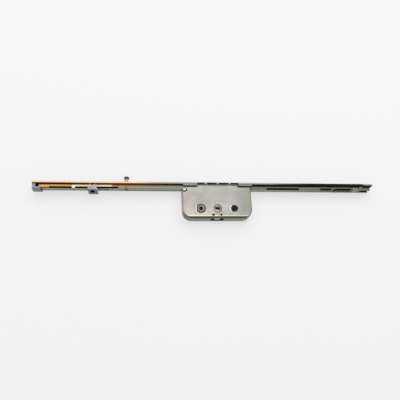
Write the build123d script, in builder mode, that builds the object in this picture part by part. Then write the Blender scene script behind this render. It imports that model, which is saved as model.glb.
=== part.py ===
from build123d import *
from math import acos, atan, cos, pi, radians, sin, sqrt, tan
import os

# Centre gear unit of a multipoint door lock, with its length of faceplate rail.
# Millimetres. The origin is on the spindle axis at half the thickness of the case.
# +X runs along the rail, +Y points to the faceplate front and +Z out of the case cover.

# Gear train: a toothed sector on the follower turns an idler, which drives the rack.
gear_module = 1.25
follower_teeth = 18
sector_teeth = 8
sector_start_angle = 70
idler_teeth = 12
pressure_angle = 25
addendum_share = 0.8
dedendum_share = 1.0
backlash = 0.2
gear_width = 6.4
turn_angle = 90

# Rail
rail_left_x = -230.0
rail_right_margin = 3.0
faceplate_width = 16.0
faceplate_thickness = 2.5
faceplate_edge = 0.6
edge_strip_length = 18.0
edge_strip_drop = 1.5
edge_strip_width = 1.5
edge_relief_depth = 1.5
rack_rise = 4.95
rail_gap = 1.3

# Drive rods: rolled channels, open to the faceplate
rod_width = 9.0
rod_wall = 0.7
rod_bend = 0.8
rod_back_step = 0.65
left_rod_gap = 0.6
right_rod_gap = 1.6
tail_rod_gap = 2.2
left_rod_margin = 8.0
left_rod_end_x = -24.0
right_rod_end_x = 187.7
tail_rod_length = 17.3
left_window_height = 1.8
left_window_depth = 0.9
right_window_height = 1.7
right_window_depth = 0.7
left_windows_x = [(-210.0, -182.8), (-178.5, -125.7)]
right_window_shares = [(0.147, 0.460), (0.665, 0.977)]
brace_share = 0.769
brace_lean = 3.3
brace_width = 3.2
coupling_notch_inset = 5.0
coupling_notch_width = 1.2
coupling_notch_pitch = 2.4
coupling_notch_count = 3

# Case
case_width = 90.0
case_thickness = 12.0
case_rear = 12.8
case_corner = 12.0
sheet = 1.2
case_wall = 1.4
seam_z = 3.5
seam_groove = 0.5
cover_edge = 1.8
base_edge = 1.0
shoulder_gap = 3.6
tongue_gap = 1.0
tongue_width = 52.0
tongue_x = 1.6
lug_width = 5.5
lug_pitch = 15.6
lug_count = 3
lug_recess = 0.1
passage_clearance = 0.5
rear_notch_width = 16.4
rear_notch_x = -0.5
rear_notch_floor_z = -3.9
jig_hole_radius = 0.95
jig_hole_pitch = 10.2
jig_hole_x = -1.0
jig_hole_y = -8.9

# Spindle and handle screws
spindle_square = 7.0
spindle_corner = 0.8
trunnion_radius = 5.0
hub_flat = 8.2
hub_radius = 9.4
hub_end_clearance = 0.4
trunnion_recess = 0.1
bush_wall = 0.4
bush_recess = 0.05
screw_spacing = 43.0
screw_hole_radius = 2.6
left_sleeve_radius = 4.0
left_sleeve_flange = 5.75
left_sleeve_lip = 0.5
sleeve_groove_width = 0.6
sleeve_groove_depth = 0.3
right_sleeve_radius = 5.0
right_sleeve_pocket = 3.9
right_sleeve_pocket_depth = 3.4
right_sleeve_tenon = 4.2
collar_hole_radius = 4.3
collar_bevel = 0.5

# Idler bearing
idler_hub_radius = 4.4
idler_pin_radius = 2.0
idler_seat_depth = 0.8
idler_end_clearance = 0.3

# Detent
spring_thickness = 0.5
spring_width = 6.0
spring_span = 16.0
spring_gap = 0.3
holder_thickness = 0.7
holder_width = 6.6
holder_length = 19.0
holder_tab_width = 11.0
holder_tab_height = 4.0
holder_tab_recess = 0.2

# Rivets
corner_rivet_inset = 3.3
corner_rivet_drop = 1.3
corner_rivet_head = 3.2
corner_rivet_rim = 0.35
corner_rivet_dome = 1.0
corner_rivet_crown = 1.7
corner_rivet_shank = 0.8
rod_rivet_radius = 1.0
rod_rivet_inset = 4.5
rod_rivet_pitch = 5.0
slide_tongue = 14.0
slide_margin = 0.5
coupler_length = 6.0
coupler_tongue = 3.2
coupler_groove = 0.7

# Locking cam and its stud
cam_x = -115.2
cam_pin_radius = 1.2
cam_collar_radius = 3.3
cam_shank_radius = 1.8
cam_tail_radius = 2.4
cam_tail_height = 0.9
cam_neck_radius = 2.1
cam_head_radius = 3.2
cam_head_height = 2.7
cam_projection = 9.0
cam_head_bevel = 0.5
cam_offset = 0.5
cam_key_flat = 4.4
cam_key_depth = 1.5
cam_pin_head_radius = 1.9
cam_pin_head_height = 0.8

# Guide blocks and guide stud
block_left_x = -162.5
block_right_x = -150.5
block_back_step = 3.4
block_lip_step = 0.9
block_taper = 2.9
block_taper_rise = 1.1
block_chamfer = 1.2
block_slot_width = 5.2
block_slot_length = 9.2
block_slot_rise = 2.0
ear_width = 1.8
ear_spread = 5.7
ear_x = -157.2
tenon_width = 1.2
tenon_height = 1.8
tenon_inset = 0.8
end_block_length = 11.4
end_block_height = 6.2
end_block_back_step = 1.3
end_block_slant = 1.0
end_block_lip_step = 1.3
end_ear_width = 4.0
end_tenon_width = 1.8
guide_stud_share = 0.826
guide_stud_tenon = 1.6
guide_stud_collar = 3.0
guide_stud_neck = 1.8
guide_stud_head = 2.6
guide_stud_head_height = 0.5

# Faceplate screws
plate_screw_left_x = -157.0
plate_screw_right_inset = 6.8
plate_screw_radius = 2.3
plate_screw_head = 4.3
plate_screw_angle = 90

# Fits
running_fit = 0.05
press_gap = 0.02
seat_gap = 0.1
clearance = 0.3
side_clearance = 0.4
overrun = 5.0

# Places that follow from the sizes above
follower_radius = gear_module * follower_teeth / 2
idler_radius = gear_module * idler_teeth / 2
idler_y = follower_radius + idler_radius
rack_line_y = idler_y + idler_radius
tooth_pitch = pi * gear_module
tooth_thickness = tooth_pitch / 2 - backlash
addendum = addendum_share * gear_module
dedendum = dedendum_share * gear_module
travel = radians(turn_angle) * follower_radius

slide_front_y = rack_line_y + rack_rise
plate_back_y = slide_front_y + rail_gap
plate_front_y = plate_back_y + faceplate_thickness
rod_back_y = rack_line_y + rod_back_step
rod_floor_y = rod_back_y + rod_wall
left_front_y = plate_back_y - left_rod_gap
right_front_y = plate_back_y - right_rod_gap
tail_front_y = plate_back_y - tail_rod_gap

half_case = case_thickness / 2
inner_z = half_case - sheet
half_plate = faceplate_width / 2
half_rod = rod_width / 2
channel_z = half_rod - rod_wall
shoulder_y = plate_back_y - shoulder_gap
tongue_y = plate_back_y - tongue_gap
passage_y = rod_back_y - passage_clearance
rear_inner_y = case_wall - case_rear
bush_radius = trunnion_radius + running_fit + bush_wall
screw_x = screw_spacing / 2
left_rod_start_x = rail_left_x + left_rod_margin
right_rod_start_x = case_width / 2 + 2 * slide_margin
tail_rod_start_x = right_rod_end_x + coupler_length
tail_rod_end_x = tail_rod_start_x + tail_rod_length
rail_right_x = tail_rod_end_x + rail_right_margin
plate_screw_right_x = tail_rod_start_x + plate_screw_right_inset
corner_rivet_x = corner_rivet_inset - case_width / 2
corner_rivet_y = rod_back_y - corner_rivet_drop
lug_xs = [tongue_x + lug_pitch * (n - (lug_count - 1) / 2) for n in range(lug_count)]
plate_screw_xs = [plate_screw_left_x, plate_screw_right_x]
front_plane = Plane(origin=(0, plate_front_y, 0), x_dir=(1, 0, 0), z_dir=(0, 1, 0))


def right_station(share):
    """Station along the right drive rod, at a share of its length."""
    return right_rod_start_x + share * (right_rod_end_x - right_rod_start_x)


right_windows_x = [(right_station(low), right_station(high)) for low, high in right_window_shares]
brace_foot_x = right_station(brace_share)
guide_stud_x = right_station(guide_stud_share)

os.makedirs("parts", exist_ok=True)


def finish(builder, name):
    """Label a finished piece and write its STEP file."""
    builder.part.label = name
    export_step(builder.part, f"parts/{name}.step")


def upright(x, y):
    """Half-section plane of a piece turned about a line along Z: radius, then height."""
    return Plane(origin=(x, y, 0), x_dir=(1, 0, 0), z_dir=(0, -1, 0))


def turned_z(steps, x, y):
    """Solid turned about the line along Z at (x, y). steps are (radius, low z, high z)."""
    with BuildPart() as turned:
        with BuildSketch(upright(x, y)):
            for radius, low, high in steps:
                with Locations((radius / 2, (low + high) / 2)):
                    Rectangle(radius, high - low)
        revolve(axis=Axis((x, y, 0), (0, 0, 1)))
    return turned.part


def turned_y(steps, x, z=0):
    """Solid turned about the line along Y at (x, z). steps are (radius, low y, high y)."""
    with BuildPart() as turned:
        with BuildSketch(Plane(origin=(x, 0, z))):
            for radius, low, high in steps:
                with Locations((radius / 2, (low + high) / 2)):
                    Rectangle(radius, high - low)
        revolve(axis=Axis((x, 0, z), (0, 1, 0)))
    return turned.part


def span(low_x, high_x, low_y, high_y, mode=Mode.ADD):
    """Rectangle between two corners, in the sketch that is open."""
    with Locations(((low_x + high_x) / 2, (low_y + high_y) / 2)):
        Rectangle(high_x - low_x, high_y - low_y, mode=mode)


def involute_angle(radius, base_radius):
    """Involute function of the pressure angle at a radius."""
    angle = acos(min(base_radius / radius, 1))
    return tan(angle) - angle


def tooth_outline(teeth):
    """Face of one involute tooth of a gear about the origin, pointing along +X."""
    pitch_radius = gear_module * teeth / 2
    base_radius = pitch_radius * cos(radians(pressure_angle))
    tip_radius = pitch_radius + addendum
    foot_radius = pitch_radius - dedendum - backlash

    def flank(radius, side):
        half = tooth_thickness / (2 * pitch_radius) + involute_angle(pitch_radius, base_radius)
        half -= involute_angle(radius, base_radius)
        return radius * cos(half), side * radius * sin(half)

    middle_radius = (base_radius + tip_radius) / 2
    base_angle = atan(flank(base_radius, 1)[1] / flank(base_radius, 1)[0])
    foot = foot_radius * cos(base_angle), foot_radius * sin(base_angle)
    with BuildSketch() as tooth:
        with BuildLine():
            Line((foot[0], -foot[1]), flank(base_radius, -1))
            ThreePointArc(flank(base_radius, -1), flank(middle_radius, -1), flank(tip_radius, -1))
            ThreePointArc(flank(tip_radius, -1), (tip_radius, 0), flank(tip_radius, 1))
            ThreePointArc(flank(tip_radius, 1), flank(middle_radius, 1), flank(base_radius, 1))
            Line(flank(base_radius, 1), foot)
            Line(foot, (foot[0], -foot[1]))
        make_face()
    return tooth.sketch


# Follower: square hub with a toothed sector and two trunnions
with BuildPart() as follower:
    root_radius = follower_radius - dedendum
    sector_step = 360 / follower_teeth
    sector_span = sector_step * (sector_teeth - 1)
    with BuildSketch():
        with BuildLine():
            rim = CenterArc(
                (0, 0), root_radius, sector_start_angle - sector_step / 2, sector_span + sector_step
            )
            Line(rim @ 1, (0, 0))
            Line((0, 0), rim @ 0)
        make_face()
        with PolarLocations(0, sector_teeth, sector_start_angle, sector_span, endpoint=True):
            add(tooth_outline(follower_teeth))
    extrude(amount=gear_width / 2, both=True)
    with BuildSketch():
        Rectangle(2 * hub_flat, 2 * hub_flat)
        Circle(hub_radius, mode=Mode.INTERSECT)
    extrude(amount=inner_z - hub_end_clearance, both=True)
    with BuildSketch():
        Circle(trunnion_radius)
    extrude(amount=half_case - trunnion_recess, both=True)
    with BuildSketch():
        RectangleRounded(spindle_square, spindle_square, spindle_corner)
    extrude(amount=half_case, both=True, mode=Mode.SUBTRACT)
finish(follower, "follower")

# Idler gear with its hub and bore
with BuildPart() as idler_gear:
    with BuildSketch(Plane(origin=(0, idler_y, 0))):
        Circle(idler_radius - dedendum)
        with PolarLocations(0, idler_teeth, 180 / idler_teeth - 90):
            add(tooth_outline(idler_teeth))
    extrude(amount=gear_width / 2, both=True)
    with BuildSketch(Plane(origin=(0, idler_y, 0))):
        Circle(idler_hub_radius)
    extrude(amount=inner_z - idler_end_clearance, both=True)
    with BuildSketch(Plane(origin=(0, idler_y, 0))):
        Circle(idler_pin_radius + running_fit)
    extrude(amount=half_case, both=True, mode=Mode.SUBTRACT)
finish(idler_gear, "idler_gear")

# Pin of the idler, seated in both sheets of the case
with BuildPart() as idler_pin:
    pin_end_z = inner_z + idler_seat_depth
    add(turned_z([(idler_pin_radius, -pin_end_z, pin_end_z)], 0, idler_y))
finish(idler_pin, "idler_pin")

# Rack slide: toothed bar between the rods, with a narrower tongue in each rod
with BuildPart() as rack_slide:
    slide_left_x = left_rod_end_x + slide_margin
    slide_right_x = right_rod_start_x - slide_margin
    rack_root_y = rack_line_y + dedendum
    tongue_floor_y = rod_floor_y + seat_gap
    with BuildSketch():
        span(slide_left_x, slide_right_x, rack_root_y, slide_front_y)
    extrude(amount=half_rod, both=True)
    with BuildSketch():
        span(slide_left_x - slide_tongue, slide_right_x + slide_tongue, tongue_floor_y, slide_front_y)
    extrude(amount=channel_z - seat_gap, both=True)
    with BuildSketch():
        half_tip = tooth_thickness / 2 - addendum * tan(radians(pressure_angle))
        half_root = tooth_thickness / 2 + dedendum * tan(radians(pressure_angle))
        rack_tip_y = rack_line_y - addendum
        for n in range(-1, sector_teeth - 1):
            x = n * tooth_pitch
            with BuildLine():
                Polyline(
                    (x - half_root, rack_root_y),
                    (x - half_tip, rack_tip_y),
                    (x + half_tip, rack_tip_y),
                    (x + half_root, rack_root_y),
                    (x + half_root, slide_front_y),
                    (x - half_root, slide_front_y),
                    close=True,
                )
            make_face()
    extrude(amount=gear_width / 2, both=True)
    rivet_y = (tongue_floor_y + slide_front_y) / 2
    slide_rivet_xs = [
        left_rod_end_x - rod_rivet_inset,
        right_rod_start_x + rod_rivet_inset,
        right_rod_start_x + rod_rivet_inset + rod_rivet_pitch,
    ]
    with BuildSketch():
        with Locations(*[(x, rivet_y) for x in slide_rivet_xs]):
            Circle(rod_rivet_radius + press_gap)
    extrude(amount=half_rod, both=True, mode=Mode.SUBTRACT)
finish(rack_slide, "rack_slide")

coupler_rivet_xs = [right_rod_end_x - coupler_tongue / 2, tail_rod_start_x + coupler_tongue / 2]
coupler_rivet_y = (tongue_floor_y + tail_front_y) / 2


def rod_channel(low_x, high_x, front_y):
    """Rolled channel between two stations, open to the faceplate."""
    with BuildPart() as channel:
        with BuildSketch(Plane.YZ.offset(low_x)):
            span(rod_back_y, front_y, -half_rod, half_rod)
            span(rod_floor_y, front_y, -channel_z, channel_z, Mode.SUBTRACT)
        extrude(amount=high_x - low_x)
        bends = channel.edges().filter_by(Axis.X).group_by(Axis.Y)[0]
        fillet(bends, radius=min(rod_bend, rod_wall))
    return channel.part


def corner_windows(windows_x, height, depth, brace_feet_x=()):
    """Long windows along both corners of a rod, into a flange and the web. Slanted braces stay."""
    top_y = rod_floor_y + height
    with BuildPart() as windows:
        with BuildSketch(Plane.XY.offset(half_rod - depth)):
            for low_x, high_x in windows_x:
                span(low_x, high_x, rod_back_y - overrun, top_y)
            for foot_x in brace_feet_x:
                with BuildLine():
                    Polyline(
                        (foot_x, rod_back_y - overrun),
                        (foot_x + brace_width, rod_back_y - overrun),
                        (foot_x + brace_width, rod_back_y),
                        (foot_x + brace_width + brace_lean, top_y),
                        (foot_x + brace_lean, top_y),
                        (foot_x, rod_back_y),
                        close=True,
                    )
                make_face(mode=Mode.SUBTRACT)
        extrude(amount=depth + overrun)
        mirror(about=Plane.XY)
    return windows.part


def web_slot(first_x, radius):
    """Slot through the web of a rod, for a fixed piece that the rod slides past."""
    slot_length = travel + 2 * (radius + side_clearance)
    with BuildPart() as slot:
        with BuildSketch(front_plane.offset(rod_back_y - plate_front_y)):
            with Locations((first_x + travel / 2, 0)):
                SlotOverall(slot_length, 2 * (radius + side_clearance))
        extrude(amount=rod_wall)
    return slot.part


def cross_holes(stations_x, y, radius):
    """Holes along Z through both flanges of a rod."""
    with BuildPart() as holes:
        with BuildSketch():
            with Locations(*[(x, y) for x in stations_x]):
                Circle(radius)
        extrude(amount=rod_width, both=True)
    return holes.part


# Left drive rod, with the slot for a faceplate screw and the hole for the cam stud
with BuildPart() as drive_rod_left:
    add(rod_channel(left_rod_start_x, left_rod_end_x, left_front_y))
    add(corner_windows(left_windows_x, left_window_height, left_window_depth), mode=Mode.SUBTRACT)
    add(web_slot(plate_screw_left_x, plate_screw_radius), mode=Mode.SUBTRACT)
    add(cross_holes(slide_rivet_xs[:1], rivet_y, rod_rivet_radius + press_gap), mode=Mode.SUBTRACT)
    with BuildSketch():
        for n in range(coupling_notch_count):
            notch_x = left_rod_start_x + coupling_notch_inset + n * coupling_notch_pitch
            span(notch_x, notch_x + coupling_notch_width, rod_floor_y, rod_floor_y + left_window_height / 2)
    extrude(amount=rod_width, both=True, mode=Mode.SUBTRACT)
    with BuildSketch(front_plane.offset(rod_back_y - plate_front_y)):
        with Locations((cam_x, 0)):
            Circle(cam_shank_radius + press_gap)
    extrude(amount=rod_wall, mode=Mode.SUBTRACT)
finish(drive_rod_left, "drive_rod_left")

# Right drive rod: a plain length, then windows, one of them crossed by a slanted brace
with BuildPart() as drive_rod_right:
    add(rod_channel(right_rod_start_x, right_rod_end_x, right_front_y))
    right_windows = corner_windows(right_windows_x, right_window_height, right_window_depth, [brace_foot_x])
    add(right_windows, mode=Mode.SUBTRACT)
    add(web_slot(guide_stud_x, guide_stud_neck), mode=Mode.SUBTRACT)
    add(cross_holes(slide_rivet_xs[1:], rivet_y, rod_rivet_radius + press_gap), mode=Mode.SUBTRACT)
    add(cross_holes(coupler_rivet_xs[:1], coupler_rivet_y, rod_rivet_radius + press_gap), mode=Mode.SUBTRACT)
finish(drive_rod_right, "drive_rod_right")

# Next length of drive rod, past the coupling, forked round a faceplate screw
with BuildPart() as drive_rod_tail:
    add(rod_channel(tail_rod_start_x, tail_rod_end_x, tail_front_y))
    add(web_slot(plate_screw_right_x, plate_screw_radius), mode=Mode.SUBTRACT)
    add(cross_holes(coupler_rivet_xs[1:], coupler_rivet_y, rod_rivet_radius + press_gap), mode=Mode.SUBTRACT)
finish(drive_rod_tail, "drive_rod_tail")

# Coupling block between the two right-hand rods, grooved across both sides
with BuildPart() as rod_coupler:
    coupler_middle_x = (right_rod_end_x + tail_rod_start_x) / 2
    with BuildSketch():
        span(
            right_rod_end_x - coupler_tongue,
            tail_rod_start_x + coupler_tongue,
            tongue_floor_y,
            tail_front_y,
        )
    extrude(amount=channel_z - seat_gap, both=True)
    with BuildSketch():
        span(right_rod_end_x + press_gap, tail_rod_start_x - press_gap, rod_back_y, right_front_y)
    extrude(amount=half_rod, both=True)
    for side in (-half_rod, half_rod):
        with BuildSketch(Plane.XZ.offset(-rod_back_y)):
            with Locations((coupler_middle_x, side)):
                Rectangle(2 * coupler_groove / sqrt(2), 2 * coupler_groove / sqrt(2), rotation=45)
        extrude(amount=rod_back_y - plate_back_y, mode=Mode.SUBTRACT)
    with BuildSketch():
        with Locations(*[(x, coupler_rivet_y) for x in coupler_rivet_xs]):
            Circle(rod_rivet_radius + press_gap)
    extrude(amount=half_rod, both=True, mode=Mode.SUBTRACT)
finish(rod_coupler, "rod_coupler")

# Cross rivets, flush with the sides of the rods
with BuildPart() as rod_rivets:
    with BuildSketch(Plane.XY.offset(-half_rod)):
        with Locations(*[(x, rivet_y) for x in slide_rivet_xs]):
            Circle(rod_rivet_radius)
        with Locations(*[(x, coupler_rivet_y) for x in coupler_rivet_xs]):
            Circle(rod_rivet_radius)
    extrude(amount=rod_width)
finish(rod_rivets, "rod_rivets")

# Stud that carries the locking cam: riveted tail, shank in the web, collar, pin and pin head
cam_top_y = plate_front_y + cam_projection
cam_seat_y = plate_back_y - left_rod_gap
cam_floor_y = cam_top_y - cam_key_depth
with BuildPart() as cam_stud:
    add(
        turned_y(
            [
                (cam_tail_radius, rod_back_y - cam_tail_height, rod_back_y),
                (cam_shank_radius, rod_back_y, rod_floor_y),
                (cam_collar_radius, rod_floor_y, cam_seat_y),
                (cam_pin_radius, cam_seat_y, cam_floor_y + seat_gap),
                (
                    cam_pin_head_radius,
                    cam_floor_y + seat_gap,
                    cam_floor_y + seat_gap + cam_pin_head_height,
                ),
            ],
            cam_x,
        )
    )
finish(cam_stud, "cam_stud")

# Locking cam: mushroom head on a neck that stands off the axis of its stud
with BuildPart() as locking_cam:
    head_y = cam_top_y - cam_head_height
    with BuildSketch(Plane(origin=(cam_x, 0, cam_offset))):
        with BuildLine():
            Polyline(
                (0, cam_seat_y + seat_gap),
                (cam_neck_radius, cam_seat_y + seat_gap),
                (cam_neck_radius, head_y),
                (cam_head_radius, head_y),
                (cam_head_radius, cam_top_y - cam_head_bevel),
                (cam_head_radius - cam_head_bevel, cam_top_y),
                (0, cam_top_y),
                close=True,
            )
        make_face()
    revolve(axis=Axis((cam_x, 0, cam_offset), (0, 1, 0)))
    with BuildSketch(Plane(origin=(cam_x, cam_top_y, 0), x_dir=(1, 0, 0), z_dir=(0, 1, 0))):
        RegularPolygon(cam_key_flat / 2, side_count=6, major_radius=False)
    extrude(amount=-cam_key_depth, mode=Mode.SUBTRACT)
    with BuildSketch(Plane(origin=(cam_x, cam_top_y, 0), x_dir=(1, 0, 0), z_dir=(0, 1, 0))):
        Circle(cam_pin_radius + running_fit)
    extrude(amount=cam_seat_y - cam_top_y, mode=Mode.SUBTRACT)
finish(locking_cam, "locking_cam")


def case_blank(low_z, high_z):
    """Outline of the case over a range of heights, without its tongue."""
    with BuildPart() as blank:
        with BuildSketch(Plane.XY.offset(low_z)) as outline:
            span(-case_width / 2, case_width / 2, -case_rear, shoulder_y)
            fillet(outline.vertices().group_by(Axis.Y)[0], radius=case_corner)
        extrude(amount=high_z - low_z)
    return blank.part


def case_cavity(low_z, high_z):
    """Room inside the walls of the case, open towards the rail."""
    with BuildPart() as cavity:
        with BuildSketch(Plane.XY.offset(low_z)) as outline:
            half_room = case_width / 2 - case_wall
            span(-half_room, half_room, rear_inner_y, plate_back_y)
            fillet(outline.vertices().group_by(Axis.Y)[0], radius=case_corner - case_wall)
        extrude(amount=high_z - low_z)
    return cavity.part


def rod_passage(low_z, high_z):
    """Gap in the end walls of the case, where the rods run through."""
    with BuildPart() as passage:
        with BuildSketch(Plane.XY.offset(low_z)):
            span(-case_width, case_width, passage_y, plate_back_y)
        extrude(amount=high_z - low_z)
    return passage.part


def tongue_and_lugs(low_z):
    """Tongue of one sheet of the case, with the lugs that are riveted in the faceplate."""
    with BuildPart() as tongue:
        with BuildSketch(Plane.XY.offset(low_z)) as outline:
            half_tongue = tongue_width / 2
            span(tongue_x - half_tongue, tongue_x + half_tongue, passage_y, tongue_y)
            chamfer(outline.vertices().group_by(Axis.Y)[-1], length=sheet / 2)
            for lug_x in lug_xs:
                span(lug_x - lug_width / 2, lug_x + lug_width / 2, passage_y, plate_front_y - lug_recess)
        extrude(amount=sheet)
    return tongue.part


def round_cut(spots, radius, low_z, high_z):
    """Round holes along Z between two heights."""
    with BuildPart() as cut:
        with BuildSketch(Plane.XY.offset(low_z)):
            with Locations(*spots):
                Circle(radius)
        extrude(amount=high_z - low_z)
    return cut.part


# Case cover: drawn lid with a rounded edge, standing on the walls of the case base
with BuildPart() as case_cover:
    add(case_blank(seam_z, half_case))
    rim_edges = case_cover.faces().sort_by(Axis.Z)[-1].edges().sort_by(Axis.Y)[:-1]
    fillet(rim_edges, radius=cover_edge)
    add(case_cavity(seam_z, inner_z), mode=Mode.SUBTRACT)
    add(rod_passage(seam_z, inner_z), mode=Mode.SUBTRACT)
    add(tongue_and_lugs(inner_z))
    sheet_span = (inner_z, half_case)
    add(round_cut([(0, 0)], bush_radius + press_gap, *sheet_span), mode=Mode.SUBTRACT)
    add(round_cut([(-screw_x, 0)], left_sleeve_radius + press_gap, *sheet_span), mode=Mode.SUBTRACT)
    add(round_cut([(screw_x, 0)], collar_hole_radius, *sheet_span), mode=Mode.SUBTRACT)
    jig_spots = [(jig_hole_x + side * jig_hole_pitch / 2, jig_hole_y) for side in (-1, 1)]
    add(round_cut(jig_spots, jig_hole_radius, *sheet_span), mode=Mode.SUBTRACT)
    rivet_spot = [(corner_rivet_x, corner_rivet_y)]
    add(round_cut(rivet_spot, corner_rivet_shank + press_gap, *sheet_span), mode=Mode.SUBTRACT)
    pin_span = (inner_z, pin_end_z)
    add(round_cut([(0, idler_y)], idler_pin_radius + press_gap, *pin_span), mode=Mode.SUBTRACT)
    collar_rim = case_cover.edges().filter_by(GeomType.CIRCLE).group_by(Axis.Z)[-1]
    collar_rim = collar_rim.filter_by(lambda edge: abs(edge.radius - collar_hole_radius) < press_gap)
    chamfer(collar_rim, length=collar_bevel)
finish(case_cover, "case_cover")

# Case base: tray with the end and rear walls, notched at the rear
with BuildPart() as case_base:
    add(case_blank(-half_case, seam_z))
    floor_edges = case_base.faces().sort_by(Axis.Z)[0].edges().sort_by(Axis.Y)[:-1]
    chamfer(floor_edges, length=base_edge)
    wall_edges = case_base.faces().sort_by(Axis.Z)[-1].edges().sort_by(Axis.Y)[:-1]
    chamfer(wall_edges, length=seam_groove)
    add(case_cavity(-inner_z, seam_z), mode=Mode.SUBTRACT)
    add(rod_passage(-inner_z, seam_z), mode=Mode.SUBTRACT)
    add(tongue_and_lugs(-half_case))
    with BuildSketch(Plane.XY.offset(rear_notch_floor_z)):
        half_notch = rear_notch_width / 2
        span(rear_notch_x - half_notch, rear_notch_x + half_notch, -case_rear - overrun, rear_inner_y)
    extrude(amount=seam_z - rear_notch_floor_z, mode=Mode.SUBTRACT)
    sheet_span = (-half_case, -inner_z)
    add(round_cut([(0, 0)], bush_radius + press_gap, *sheet_span), mode=Mode.SUBTRACT)
    add(round_cut([(-screw_x, 0)], left_sleeve_radius + press_gap, *sheet_span), mode=Mode.SUBTRACT)
    add(round_cut([(screw_x, 0)], right_sleeve_tenon + press_gap, *sheet_span), mode=Mode.SUBTRACT)
    add(round_cut(rivet_spot, corner_rivet_shank + press_gap, *sheet_span), mode=Mode.SUBTRACT)
    pin_span = (-pin_end_z, -inner_z)
    add(round_cut([(0, idler_y)], idler_pin_radius + press_gap, *pin_span), mode=Mode.SUBTRACT)
finish(case_base, "case_base")


def follower_bush(low_z):
    """Thin bush round a trunnion of the follower, in one sheet of the case."""
    with BuildPart() as bush:
        with BuildSketch(Plane.XY.offset(low_z)):
            Circle(bush_radius)
            Circle(trunnion_radius + running_fit, mode=Mode.SUBTRACT)
        extrude(amount=sheet - bush_recess)
    return bush


finish(follower_bush(inner_z), "follower_bush_cover")
finish(follower_bush(bush_recess - half_case), "follower_bush_base")

# Left sleeve for a handle screw: flanged over both sheets, with a turned groove
with BuildPart() as handle_sleeve_left:
    lip_z = half_case + left_sleeve_lip
    add(
        turned_z(
            [
                (left_sleeve_radius, -lip_z, lip_z),
                (left_sleeve_flange, half_case, lip_z),
                (left_sleeve_flange, -lip_z, -half_case),
            ],
            -screw_x,
            0,
        )
    )
    flange_rims = handle_sleeve_left.edges().filter_by(GeomType.CIRCLE)
    flange_rims = flange_rims.filter_by(lambda edge: abs(edge.center().Z - lip_z) < press_gap)
    chamfer(flange_rims, length=left_sleeve_lip / 2)
    with BuildSketch(Plane.XY.offset(lip_z)):
        with Locations((-screw_x, 0)):
            Circle(left_sleeve_radius + sleeve_groove_width / 2)
            Circle(left_sleeve_radius - sleeve_groove_width / 2, mode=Mode.SUBTRACT)
    extrude(amount=-sleeve_groove_depth, mode=Mode.SUBTRACT)
    add(round_cut([(-screw_x, 0)], screw_hole_radius, -lip_z, lip_z), mode=Mode.SUBTRACT)
finish(handle_sleeve_left, "handle_sleeve_left")

# Right sleeve for a handle screw: pocket under the collar of the cover, tenon in the base
with BuildPart() as handle_sleeve_right:
    add(
        turned_z(
            [(right_sleeve_radius, -inner_z, inner_z), (right_sleeve_tenon, -half_case, -inner_z)],
            screw_x,
            0,
        )
    )
    pocket_floor_z = inner_z - right_sleeve_pocket_depth
    add(round_cut([(screw_x, 0)], right_sleeve_pocket, pocket_floor_z, inner_z), mode=Mode.SUBTRACT)
    add(round_cut([(screw_x, 0)], screw_hole_radius, -half_case, pocket_floor_z), mode=Mode.SUBTRACT)
finish(handle_sleeve_right, "handle_sleeve_right")

# Rivet at the corner of the case, with a bevelled head on the cover
with BuildPart() as corner_rivet:
    dome_top_z = half_case + corner_rivet_dome
    with BuildSketch(upright(corner_rivet_x, corner_rivet_y)):
        with BuildLine():
            Polyline(
                (0, dome_top_z),
                (0, -half_case),
                (corner_rivet_shank, -half_case),
                (corner_rivet_shank, half_case),
                (corner_rivet_head, half_case),
                (corner_rivet_head, half_case + corner_rivet_rim),
                (corner_rivet_crown, dome_top_z),
                close=True,
            )
        make_face()
    revolve(axis=Axis((corner_rivet_x, corner_rivet_y, 0), (0, 0, 1)))
finish(corner_rivet, "corner_rivet")

# Detent spring: leaf that bows from its holder towards a flat of the follower
with BuildPart() as detent_spring:
    crest_y = -hub_flat - spring_gap
    seat_y = rear_inner_y + holder_thickness
    half_span = spring_span / 2
    with BuildSketch():
        with BuildLine():
            ThreePointArc(
                (rear_notch_x - half_span, seat_y + spring_thickness),
                (rear_notch_x, crest_y),
                (rear_notch_x + half_span, seat_y + spring_thickness),
            )
            Line(
                (rear_notch_x + half_span, seat_y + spring_thickness),
                (rear_notch_x + half_span, seat_y),
            )
            ThreePointArc(
                (rear_notch_x + half_span, seat_y),
                (rear_notch_x, crest_y - spring_thickness),
                (rear_notch_x - half_span, seat_y),
            )
            Line(
                (rear_notch_x - half_span, seat_y),
                (rear_notch_x - half_span, seat_y + spring_thickness),
            )
        make_face()
    extrude(amount=spring_width / 2, both=True)
finish(detent_spring, "detent_spring")

# Spring holder: strip on the rear wall, with a bowed tab that fills part of the rear notch
with BuildPart() as spring_holder:
    with BuildSketch():
        half_holder = holder_length / 2
        span(rear_notch_x - half_holder, rear_notch_x + half_holder, rear_inner_y, seat_y)
    extrude(amount=holder_width / 2, both=True)
    with BuildSketch(Plane.XY.offset(seam_z)):
        half_tab = holder_tab_width / 2
        tab_crest_y = holder_tab_recess - case_rear
        with BuildLine():
            Line((rear_notch_x - half_tab, seat_y), (rear_notch_x - half_tab, rear_inner_y))
            ThreePointArc(
                (rear_notch_x - half_tab, rear_inner_y),
                (rear_notch_x, tab_crest_y),
                (rear_notch_x + half_tab, rear_inner_y),
            )
            Line((rear_notch_x + half_tab, rear_inner_y), (rear_notch_x + half_tab, seat_y))
            Line((rear_notch_x + half_tab, seat_y), (rear_notch_x - half_tab, seat_y))
        make_face()
    extrude(amount=-holder_tab_height)
finish(spring_holder, "spring_holder")

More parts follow.
